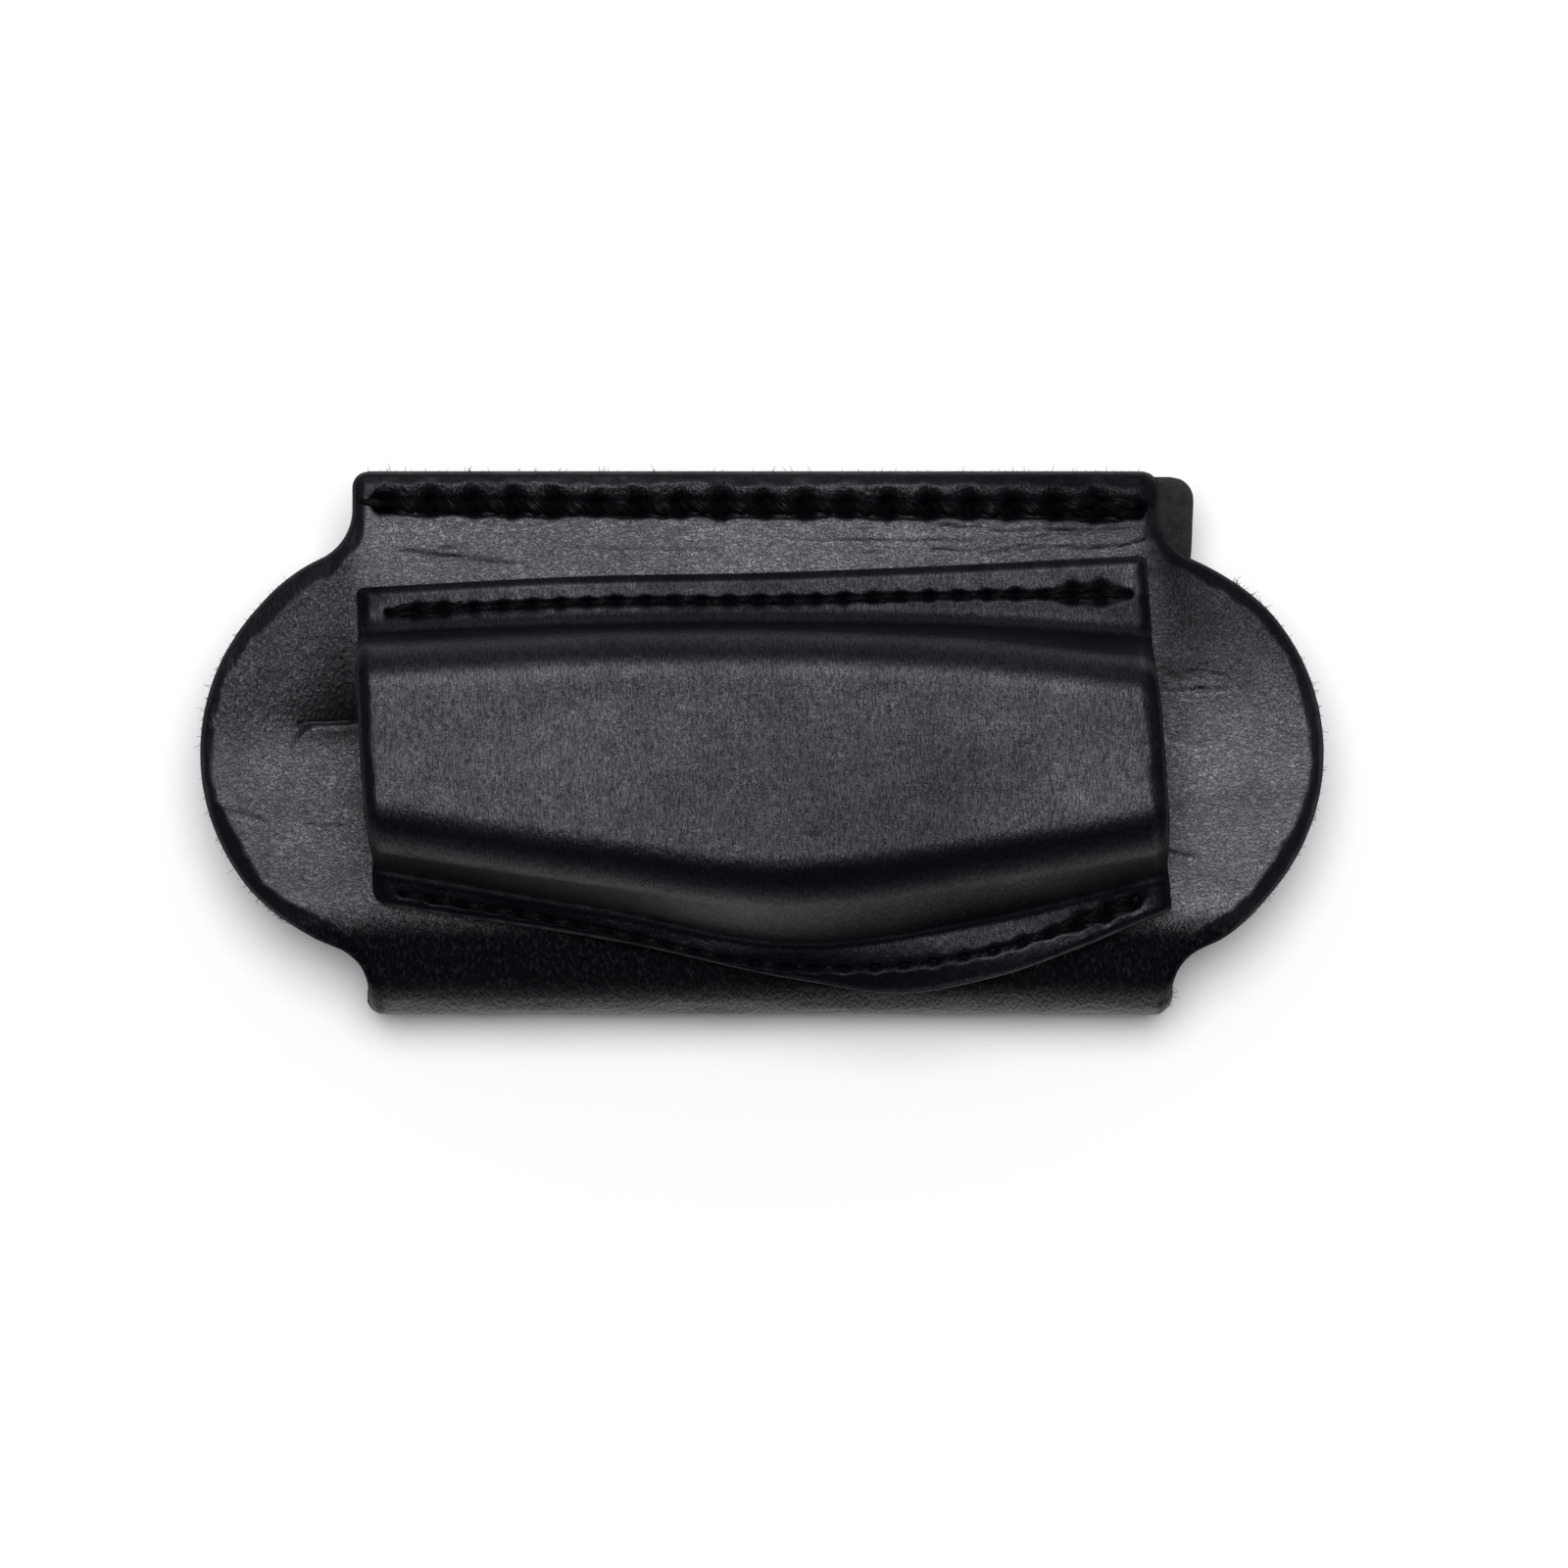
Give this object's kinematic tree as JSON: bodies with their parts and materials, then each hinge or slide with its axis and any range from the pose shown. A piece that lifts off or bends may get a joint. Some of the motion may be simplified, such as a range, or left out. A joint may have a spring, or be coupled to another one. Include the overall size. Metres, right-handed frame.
{
  "type": "horizontal belt sheath",
  "caption": "Horizontal leather belt sheath: a round-eared folded panel makes the belt loop, and a wet-moulded pocket open at both ends is stitched on its front.",
  "frame": {"origin": "centre of the bounding box, on the plane of the back flap's rear face, which rests on the table or on the wearer", "axes": "+X along the belt, +Y towards the upper edge as worn, +Z out of the front face"},
  "size_m": [0.1144, 0.0554, 0.0273],
  "materials": {
    "panel_leather": "semi-matt black dyed grain side, burnished edges, brown-grey flesh side",
    "pocket_leather": "smoothed satin black, wet-moulded",
    "waxed_thread": "waxed multi-ply black thread"
  },
  "bodies": {
    "root": {"folded_belt_panel": "panel_leather", "moulded_pocket": "pocket_leather", "top_seam_needle_thread": "waxed_thread", "top_seam_bobbin_thread": "waxed_thread", "pocket_upper_needle_thread": "waxed_thread", "pocket_upper_bobbin_thread": "waxed_thread", "pocket_lower_needle_thread": "waxed_thread", "pocket_lower_bobbin_thread": "waxed_thread"}
  },
  "joints": []
}
